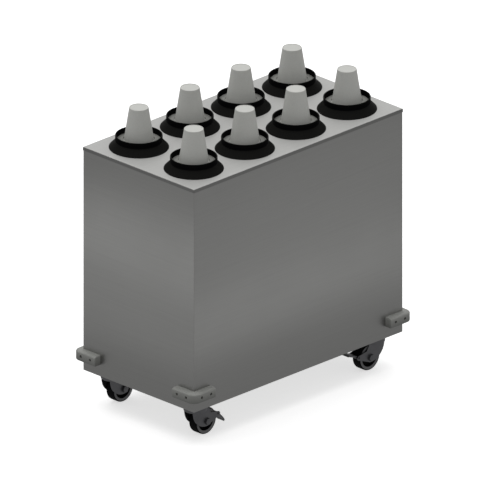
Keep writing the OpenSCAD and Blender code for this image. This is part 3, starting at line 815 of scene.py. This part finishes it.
def bumper_section(sizes, top):
    """Section of a bumper from the upper edge of its outer face over the shoulder, down the back
    and round the heel, as rows of (height, distance off the cabinet)."""
    thick, high = sizes.thickness, top - sizes.shoulder
    crest, sole = 0.0018, 0.0006
    back_top, back_low = thick - sizes.shoulder - 0.004, thick - sizes.heel - 0.001
    t = np.linspace(0, 1, 7)[1:, None]
    corners = (
        ((high, thick), (top - crest, thick - crest), (top, back_top)),
        ((0.0, back_low), (sole, thick - sole), (sizes.heel, thick)),
    )
    shoulder, heel = (parabola(*np.array(corner), t) for corner in corners)
    return np.concatenate([[[high, thick]], shoulder, [[top, 0.0], [0.0, 0.0]], heel])


def bumper_parts(sizes, corner):
    """A corner bumper: its section carried along the path, with the outer face laid as a row of
    cells, four of them round the screw wells. Near its ends the section is drawn in by a quarter
    round, and squeezed in height by a share of that."""
    low, high = box_of(f"{corner}_bumper")
    sign_x, sign_y = corner_signs(corner)
    total = 2 * (sizes.arm + (sizes.thickness - sizes.corner)) + sizes.corner * math.pi / 2
    thick, top = sizes.thickness, high[2] - low[2]
    face_low, face_high = sizes.heel, top - sizes.shoulder
    cell_half, wide, steps, squeeze = 0.009, 0.03, 8, 0.6
    wells = [sizes.arm - sizes.outer_screw, sizes.arm - sizes.inner_screw]
    wells += [total - w for w in reversed(wells)]
    marks = [0.0, *(well + side for well in wells for side in (-cell_half, cell_half)), total]
    spans = list(zip(marks[:-1], marks[1:]))
    runs = [np.linspace(a, b, steps * (2 if b - a > wide else 1) + 1) for a, b in spans]
    s = np.concatenate([*(run[:-1] for run in runs), [total]])

    def place(along, z, out):
        """A point of the bumper from its length, height and distance off the cabinet."""
        base, facing = bumper_path(sizes, along)
        end = np.minimum(along, total - along)
        u = np.clip(1 - end / sizes.end_round, 0, 1)
        drawn = sizes.end_round * (1 - np.sqrt(1 - u ** 2))
        out = np.where(out > drawn, out - drawn, out)
        z = np.clip(z, drawn * squeeze, top - drawn * squeeze)
        flat = base + facing * out[..., None]
        x, y = BODY_HALF[0] + flat[..., 0], BODY_HALF[1] + flat[..., 1]
        return points_of(sign_x * x, sign_y * y, low[2] + z)

    section = bumper_section(sizes, top)
    skin = place(s, section[:, :1], section[:, 1:])
    parts = [grid(skin, close_columns=False)]
    z = np.linspace(face_low, face_high, steps + 1)
    depth = np.array([0.0, 0.0006, sizes.well_depth, sizes.well_depth])[:, None]
    shrink = np.array([1.0, 0.93, 0.93, 0.0])[:, None, None]
    for (a, b), run in zip(spans, runs):
        middle = np.array([(a + b) / 2, top / 2])
        if any(abs(well - middle[0]) < MERGE for well in wells):
            cell = holed_cell((a, face_low), (b, face_high), middle, sizes.screw_well, steps)
            ring = middle + (cell[0] - middle) * shrink
            for points, out in ((cell, thick), (ring, thick - depth)):
                parts.append(grid(place(points[..., 0], points[..., 1], out)))
        else:
            parts.append(grid(place(run, z[:, None], thick), close_columns=False))
    for end in (0, -1):
        parts.append(cap(np.concatenate([skin[:, end], place(s[end], z[1:-1], thick)])))
    return parts


def screw_parts(sizes, corner):
    """Four pan-head screws of a bumper, each a dome with a cross sunk in it: where a point lies
    near either line through the middle, and within the cross's reach, it is one depth lower."""
    low, high = box_of(f"{corner}_bumper")
    sign_x, sign_y = corner_signs(corner)
    level = (low[2] + high[2]) / 2
    seat = sizes.thickness - sizes.well_depth
    radius = sizes.screw_head
    slot_half, slot_reach, slot_depth = 0.17 * radius, 0.62 * radius, 0.0011
    around = np.arange(48) * math.tau / 48
    out = np.array([1.0, 1.0, 0.97, 0.88, 0.74, 0.6, 0.48, 0.36, 0.24, 0.12, 0.0])[:, None]
    dome = np.array([0.0, 0.45, 0.55, 0.68, 0.78, 0.86, 0.91, 0.95, 0.98, 1.0, 1.0])[:, None]
    u, v = radius * out * np.cos(around), radius * out * np.sin(around)
    near = np.minimum(np.abs(u), np.abs(v))
    inside = (near < slot_half) & (np.hypot(u, v) < slot_reach)
    rise = radius * dome - np.where(inside, slot_depth, 0.0)
    parts = []
    for away in (sizes.inner_screw, sizes.outer_screw):
        x, y = sign_x * (BODY_HALF[0] - away), sign_y * (BODY_HALF[1] + seat)
        parts.append(grid(points_of(x + u, y + sign_y * rise, level + v)))
        x, y = sign_x * (BODY_HALF[0] + seat), sign_y * (BODY_HALF[1] - away)
        parts.append(grid(points_of(x + sign_x * rise, y + u, level + v)))
    return parts


# Casters: a fork and a pedal are made with the swivel axis at zero and the wheel behind it on X

def leg_faces(sizes):
    """Distances of a leg's inner and outer face from the wheel's middle plane."""
    inner = WHEEL_HALF + sizes.leg_gap
    return inner, inner + sizes.fork_sheet


def crown_parts(sizes):
    """The fork's crown: a cup turned over, whose lower edge rises over the wheel. Its height at
    each angle is the skirt's, or the wheel arch's where that is higher, between the legs. Each
    row of the section is (radius, height, share of the edge's height)."""
    angle = np.arange(120) * math.tau / 120
    r, thin, top = sizes.crown, sizes.fork_sheet, sizes.crown_top
    bend, tip, ramp = 2 * thin, thin / 4, 0.001
    x, y = r * np.cos(angle), r * np.sin(angle)
    arch = WHEEL_RADIUS + np.sqrt(np.clip(sizes.arch ** 2 - (x - sizes.trail) ** 2, 0, None))
    inside = np.clip((leg_faces(sizes)[0] + ramp - np.abs(y)) / ramp, 0, 1)
    edge = sizes.skirt + inside * np.clip(arch - sizes.skirt, 0, None)
    outer = circle_arc((r - bend, top - bend), bend, 90, 0, 8)
    inner = circle_arc((r - bend, top - bend), bend - thin, 0, 90, 8)
    section = np.concatenate([
        [[0.0, top, 0.0]], np.insert(outer, 2, 0.0, axis=1),
        [[r, tip, 1.0], [r - tip, 0.0, 1.0], [r - thin + tip, 0.0, 1.0], [r - thin, tip, 1.0]],
        np.insert(inner, 2, 0.0, axis=1), [[0.0, top - thin, 0.0]],
    ])
    radius, height, share = section.T[..., None]
    z = height + share * edge
    return [grid(points_of(radius * np.cos(angle), radius * np.sin(angle), z))]


def leg_outline(sizes, braked):
    """Side view of a fork's leg, from the swivel axis: a front edge that leaves the crown upright
    and sweeps round to the boss at the axle, on a circle of radius (f^2 + d^2 - b^2) / 2 (f - b)
    for the front's reach f and the crown's drop d from the axle and the boss's radius b. A
    braked leg has an ear behind it."""
    trail, boss, axle = sizes.trail, sizes.boss, WHEEL_RADIUS
    lead = math.sqrt(sizes.crown ** 2 - leg_faces(sizes)[1] ** 2) - sizes.fork_sheet / 2
    top = sizes.crown_top - sizes.fork_sheet / 2
    front, drop = trail + lead, sizes.skirt - axle
    sweep = (front ** 2 + drop ** 2 - boss ** 2) / (2 * (front - boss))
    turn = 360 - math.degrees(math.atan2(drop, trail - (sweep - lead)))
    fore = circle_arc((sweep - lead, sizes.skirt), sweep, 180, turn, 28)[:-1]
    under = circle_arc((trail, axle), boss, turn, 360, 20)
    upper = [[lead, top], [-lead, top]]
    if not braked:
        tail = rounded([
            (trail + boss, axle, 0.0), (trail + boss, sizes.skirt - boss, 0.006),
            (lead, top, 0.0), (trail, axle, 0.0),
        ])
        tail = tail[(tail[:, 1] > axle + MERGE) & (tail[:, 0] > lead + MERGE)]
        return np.concatenate([fore, under, tail, upper])
    ear, set_in, under_end = 1.3 * sizes.pin, 0.001, trail + 0.6 * boss
    pivot = np.array([trail + sizes.brake_back, axle + sizes.brake_up])
    round_end = circle_arc(pivot, ear, -84, 80, 16)
    under = under[under[:, 0] < under_end]
    back = [
        [trail + boss, axle + sizes.brake_up + 2 * ear - set_in],
        [trail + boss, sizes.skirt - boss],
    ]
    return np.concatenate([fore, under, round_end, back, upper])


def fork_parts(sizes, corner):
    """A pressed fork: the crown and two legs with rounded edges."""
    outline = leg_outline(sizes, corner in PEDAL_RESTS)
    legs = plate_pair(outline, leg_faces(sizes)[0], sizes.fork_sheet)
    return at_caster(crown_parts(sizes) + legs, corner, sizes.trail)


def wheel_profile():
    """Section of a wheel core: hub, thin web and a rim ring proud of the web on both sides."""
    half, web, bore = WHEEL_HALF, 0.28 * WHEEL_HALF, 0.00605
    hub, recess = 0.29 * WHEEL_RADIUS, 0.64 * WHEEL_RADIUS
    return mirrored([
        (bore, -half, 0.0), (hub, -half, 0.001), (hub, -web, 0.002), (recess, -web, 0.002),
        (recess + web, -half, 0.0012), (RIM_RING, -half, 0.0004), (RIM_RING, -RIM_SIDE, 0.0),
        (RIM_SEAT, -RIM_SIDE, 0.0),
    ])


def tyre_profile():
    """Section of a tyre: a flat tread with round shoulders, and sides that grip the core."""
    return mirrored([
        (RIM_SEAT, -RIM_SIDE, 0.0), (RIM_RING, -RIM_SIDE, 0.0), (RIM_RING, -WHEEL_HALF, 0.0006),
        (WHEEL_RADIUS, -WHEEL_HALF, 0.0046),
    ], 8)


def axle_parts(sizes, corner):
    """Axle bolt: a round shank between a hexagon head and a nut, with its end standing proud."""
    middle = caster_places(corner, sizes.trail)[2]
    leg_out, nut, proud = leg_faces(sizes)[1], 1.3 * sizes.pin, 0.0005
    corners = circle_arc((0.0, 0.0), 1.9 * sizes.pin, 0, 300, 6)
    hexagon = rounded(np.insert(corners, 2, 0.0006, axis=1), 3)
    shank = round_bar(sizes.pin, leg_out + nut + proud, 0.0007, middle, 48)
    return [shank, *plate_pair(hexagon, leg_out, nut, middle)]


def pedal_outline(sizes):
    """Side view of a pedal from its pin: a thin arm that dips to a turned-down tip."""
    end, thin, eye = sizes.pedal, sizes.fork_sheet, 0.8 * sizes.pin
    neck = 0.7 * end
    return rounded([
        (-eye, -eye, 0.004), (eye, -eye, 0.004), (neck - thin / 2, 0.0, 0.006),
        (end - thin, -thin, 0.001), (end - thin / 2, -2 * thin, 0.0008),
        (end + thin / 2, -2 * thin, 0.0008), (end, 0.0, 0.003), (neck, thin, 0.006),
        (eye, eye, 0.004), (-eye, eye, 0.004),
    ])


def pedal_parts(sizes, corner):
    """A brake pedal: its side view carried across the fork, turned to its rest angle about the
    pin, with the pin through it."""
    pivot = [sizes.trail + sizes.brake_back, 0.0, WHEEL_RADIUS + sizes.brake_up]
    parts = plate(pedal_outline(sizes), -WHEEL_HALF, WHEEL_HALF, along_y(), 0.0008)
    end = leg_faces(sizes)[1] + sizes.fork_sheet
    parts.append(round_bar(sizes.pin / 2, end, 0.0006, ORIGIN, 32))
    turn = np.array(Matrix.Rotation(math.radians(PEDAL_RESTS[corner]), 3, "Y"))
    parts = [(points @ turn.T + pivot, faces) for points, faces in parts]
    return at_caster(parts, corner, sizes.trail)


# Operators

class DressingOperator:
    """What every operator of this file shares."""

    bl_options = {"REGISTER", "UNDO"}


class DISPENSER_OT_stage(DressingOperator, bpy.types.Operator):
    """Adds the camera, the pale floor and the soft lights"""

    bl_idname = "dispenser.stage"
    bl_label = "Stage"

    def execute(self, context):
        stage = context.scene.dispenser_stage
        add_camera(context.scene, stage)
        add_floor(context.scene, stage)
        add_lights(context.scene, stage)
        return {"FINISHED"}


def add_camera(scene, stage):
    """A parallel-view camera aimed from the cabinet's low front corner."""
    az, el, away = stage.azimuth, stage.elevation, 6.0
    right = Vector((math.cos(az), math.sin(az), 0.0))
    back = Vector((math.sin(az) * math.cos(el), -math.cos(az) * math.cos(el), math.sin(el)))
    up = back.cross(right)
    aim = Vector(BODY_LOW) + right * stage.aim_right + up * stage.aim_up
    data = bpy.data.cameras.new("view")
    data.type = "ORTHO"
    data.ortho_scale = stage.picture_width
    data.clip_end = 10 * away
    camera = bpy.data.objects.new("view", data)
    turn = Matrix((right, up, back)).transposed().to_4x4()
    camera.matrix_world = Matrix.Translation(aim + back * away) @ turn
    scene.collection.objects.link(camera)
    scene.camera = camera


def add_floor(scene, stage):
    """A wide pale floor that takes a soft shadow."""
    mesh = bpy.data.meshes.new("floor")
    loop = rectangle_loop((-stage.floor, -stage.floor), (stage.floor, stage.floor), 1)
    mesh.from_pydata(points_of(loop[:, 0], loop[:, 1], 0.0), [], [(0, 1, 2, 3)])
    finish = Finish("pale_floor")
    drift = finish.noise(0.8, 3.0, 0.5)
    mesh.materials.append(finish.set(
        Base_Color=finish.shade(drift, (0.9, 0.9, 0.9), 0.99, 1.01), Roughness=0.9,
        Specular_IOR_Level=0.0, Emission_Color=(1.0, 1.0, 1.0, 1.0), Emission_Strength=0.62,
    ))
    floor = bpy.data.objects.new("floor", mesh)
    scene.collection.objects.link(floor)
    floor.visible_diffuse = False
    floor.visible_glossy = False


def add_lights(scene, stage):
    """An even dim surrounding, a wide soft light above, and soft panels beside the object."""
    world = bpy.data.worlds.new("surrounding")
    world.use_nodes = True
    background = world.node_tree.nodes["Background"]
    background.inputs["Color"].default_value = (1.0, 1.0, 1.0, 1.0)
    background.inputs["Strength"].default_value = stage.daylight
    scene.world = world
    scene.view_settings.view_transform = "Standard"
    sun = bpy.data.lights.new("overhead", "SUN")
    sun.energy = stage.overhead
    sun.angle = math.radians(70)
    lamp = bpy.data.objects.new("overhead", sun)
    lamp.rotation_euler = (math.radians(-14), math.radians(7), 0.0)
    scene.collection.objects.link(lamp)
    for way, level, size, share in GLOWS:
        add_glow(scene, way, level, size, share * getattr(stage, f"{way}_glow"))


def add_glow(scene, way, level, size, power):
    """A soft panel beside a sheet, aimed a little up, that shows only as a sheen on it."""
    axis = 1 if way == "front" else 0
    sheet = Vector((GLOW_ALONG, GLOW_ALONG, level))
    sheet[axis] = BODY_LOW[axis]
    place = sheet.copy()
    place[axis] -= GLOW_AWAY
    panel = bpy.data.lights.new(f"{way}_glow", "AREA")
    panel.shape = "RECTANGLE"
    panel.size, panel.size_y = size
    panel.energy = power
    lamp = bpy.data.objects.new(panel.name, panel)
    aim = sheet + Vector((0.0, 0.0, GLOW_LIFT)) - place
    lamp.matrix_world = Matrix.Translation(place) @ aim.to_track_quat("-Z", "Y").to_matrix().to_4x4()
    lamp.visible_camera = False
    lamp.visible_diffuse = False
    scene.collection.objects.link(lamp)


class DISPENSER_OT_cabinet(DressingOperator, bpy.types.Operator):
    """Adds the deck and the four side sheets"""

    bl_idname = "dispenser.cabinet"
    bl_label = "Cabinet"

    def execute(self, context):
        sizes = context.scene.dispenser_cabinet
        parts = deck_parts(sizes)
        deck = add_piece(
            "deck_sheet", parts, "stainless_deck", "cabinet", "stainless_sheet", "deck_plate"
        )
        # Painted shade: the bend and the turned-down lip take a darker copy of the deck's stainless,
        # as if in shade under the edge
        paint(deck, "stainless_lip", lambda middle, normal: normal[:, 2] < FLAT)
        for node in ("front_panel", "rear_panel", "left_end_panel", "right_end_panel"):
            add_piece(
                node.replace("panel", "sheet"), side_parts(sizes, node), "stainless_side",
                "cabinet", "stainless_sheet", node,
            )
        return {"FINISHED"}


class DISPENSER_OT_heads(DressingOperator, bpy.types.Operator):
    """Adds the collars and gaskets of the dispensing heads"""

    bl_idname = "dispenser.heads"
    bl_label = "Dispensing heads"

    def execute(self, context):
        sizes = context.scene.dispenser_head
        collar, gasket = (
            [revolve(profile, head_centre(head), "Z", 144) for head in HEADS]
            for profile in (collar_profile(sizes), gasket_profile(sizes))
        )
        collars = add_piece(
            "head_collars", collar, "collar_plastic", "cabinet", "collar_plastic",
            "dispenser_collars",
        )
        # Painted shade: the upright walls of the collars are made darker than the flanges, as they
        # face away from the light above
        paint(collars, "collar_wall", lambda middle, normal: np.abs(normal[:, 2]) < UPRIGHT)
        add_piece("head_gaskets", gasket, "gasket_film", "cabinet", "gasket_film", "cup_gaskets")
        return {"FINISHED"}


class DISPENSER_OT_cups(DressingOperator, bpy.types.Operator):
    """Adds the top cups and the nests below them"""

    bl_idname = "dispenser.cups"
    bl_label = "Cups"

    def execute(self, context):
        sizes = context.scene.dispenser_cup
        taper = (sizes.mouth - sizes.foot) / float(CUP_HIGH[2] - CUP_LOW[2])
        pitch = (sizes.wall + sizes.nest_gap) / taper
        top, nest = cup_profile(sizes), cup_profile(sizes, 11, pitch)
        for head in HEADS:
            mouth = head_centre(head)
            mouth[2] = CUP_LOW[2]
            add_piece(
                f"foam_cup_{head}", [revolve(top, mouth, "Z", 120)], "cup_foam",
                f"cup_{head}", "cup_foam", f"top_cup_{head}",
            )
            mouth[2] -= pitch
            add_piece(
                f"foam_nest_{head}", [revolve(nest, mouth, "Z", 96)], "cup_foam",
                f"lift_{head}", "cup_foam", f"cup_stack_{head}",
            )
        return {"FINISHED"}


class DISPENSER_OT_springs(DressingOperator, bpy.types.Operator):
    """Adds a lift spring in each tube"""

    bl_idname = "dispenser.springs"
    bl_label = "Springs"

    def execute(self, context):
        low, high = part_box("dispenser_springs")
        wire = 0.003
        radius = head_centre(1)[0] - low[0] - wire / 2
        for head in HEADS:
            centre, joint = head_centre(head), f"lift_{head}_slide"
            spring = add_piece(
                f"lift_spring_{head}",
                spring_parts(centre, low[2] + wire / 2, high[2] - wire / 2, radius, wire),
                "bright_steel", "cabinet", "spring_steel",
                *(["dispenser_springs"] if head == 1 else []),
            )
            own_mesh(spring)
        return {"FINISHED"}


class DISPENSER_OT_bumpers(DressingOperator, bpy.types.Operator):
    """Adds the corner bumpers and their screws"""

    bl_idname = "dispenser.bumpers"
    bl_label = "Bumpers"

    def execute(self, context):
        sizes = context.scene.dispenser_bumper
        screws = []
        for corner in CORNERS:
            add_piece(
                f"{corner}_corner_bumper", bumper_parts(sizes, corner), "bumper_plastic",
                "cabinet", "bumper_plastic", f"{corner}_bumper",
            )
            screws += screw_parts(sizes, corner)
        add_piece(
            "bumper_screw_heads", screws, "dark_screw", "cabinet", "dark_screws", "bumper_screws"
        )
        return {"FINISHED"}


class DISPENSER_OT_casters(DressingOperator, bpy.types.Operator):
    """Adds forks, wheels, axle bolts and brake pedals"""

    bl_idname = "dispenser.casters"
    bl_label = "Casters"

    def execute(self, context):
        sizes = context.scene.dispenser_caster
        for corner in CORNERS:
            middle = caster_places(corner, sizes.trail)[2]
            core = [revolve(wheel_profile(), middle, "Y", 96)]
            tread = [revolve(tyre_profile(), middle, "Y", 128)]
            fork, axle = fork_parts(sizes, corner), axle_parts(sizes, corner)
            for name, parts, finish, body, slot, node in (
                ("pressed_fork", fork, "zinc_steel", "caster", "caster_steel", "fork"),
                ("axle", axle, "zinc_steel", "caster", "bolt_steel", "axle_bolt"),
                ("core", core, "wheel_plastic", "wheel", "wheel_plastic", "wheel_core"),
                ("tread", tread, "tyre_rubber", "wheel", "tyre_rubber", "tyre"),
            ):
                piece = add_piece(
                    f"{corner}_{name}", parts, finish, f"{corner}_{body}", slot,
                    f"{corner}_{node}",
                )
                if name == "core":
                    # Painted shade: the recessed hub and web of the core are made black within the
                    # shade radius
                    paint(piece, "hub_plastic", lambda at, normal: np.hypot(
                        at[:, 0] - middle[0], at[:, 2] - middle[2]) < HUB_SHADE_RADIUS)
        for corner in PEDAL_RESTS:
            add_piece(
                f"{corner}_pedal_plate", pedal_parts(sizes, corner), "zinc_steel",
                f"{corner}_pedal", "caster_steel", f"{corner}_brake_pedal",
            )
        return {"FINISHED"}


class DISPENSER_OT_frame_finishes(DressingOperator, bpy.types.Operator):
    """Gives the frame's own pieces their materials"""

    bl_idname = "dispenser.frame_finishes"
    bl_label = "Frame finishes"

    def execute(self, context):
        finishes = {
            "base_pan": "stainless_side", "dispenser_tubes": "bright_steel",
            "tube_end_caps": "collar_plastic", "caster_top_plates": "zinc_steel",
            "caster_plate_bolts": "bright_steel",
            **{f"follower_{head}": "follower_plastic" for head in HEADS},
        }
        for node, finish in finishes.items():
            for material_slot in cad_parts[node].material_slots:
                material_slot.material = finish_of(finish)
        return {"FINISHED"}


OPERATORS = (
    DISPENSER_OT_stage, DISPENSER_OT_cabinet, DISPENSER_OT_heads, DISPENSER_OT_cups,
    DISPENSER_OT_springs, DISPENSER_OT_bumpers, DISPENSER_OT_casters, DISPENSER_OT_frame_finishes,
)


class DISPENSER_PT_sidebar(bpy.types.Panel):
    """Lists the pieces that can be added and the sizes that can be changed"""

    bl_idname = "DISPENSER_PT_sidebar"
    bl_label = "Cup dispenser"
    bl_space_type = "VIEW_3D"
    bl_region_type = "UI"
    bl_category = "Cup dispenser"

    def draw(self, context):
        for operator in OPERATORS:
            self.layout.operator(operator.bl_idname)
        for name, group in GROUPS.items():
            box = self.layout.box()
            box.label(text=group.__doc__)
            for label in group.__annotations__:
                box.prop(getattr(context.scene, name), label)


CLASSES = (*GROUPS.values(), *OPERATORS, DISPENSER_PT_sidebar)


def register():
    """Registers the classes and hangs the sizes on the scene."""
    for cls in CLASSES:
        bpy.utils.register_class(cls)
    for name, group in GROUPS.items():
        setattr(bpy.types.Scene, name, PointerProperty(type=group))


def unregister():
    """Takes the sizes off the scene and the classes out again."""
    for name in GROUPS:
        delattr(bpy.types.Scene, name)
    for cls in reversed(CLASSES):
        bpy.utils.unregister_class(cls)


def main():
    register()
    for operator in OPERATORS:
        group, name = operator.bl_idname.split(".")
        getattr(getattr(bpy.ops, group), name)()


if __name__ == "__main__":
    main()
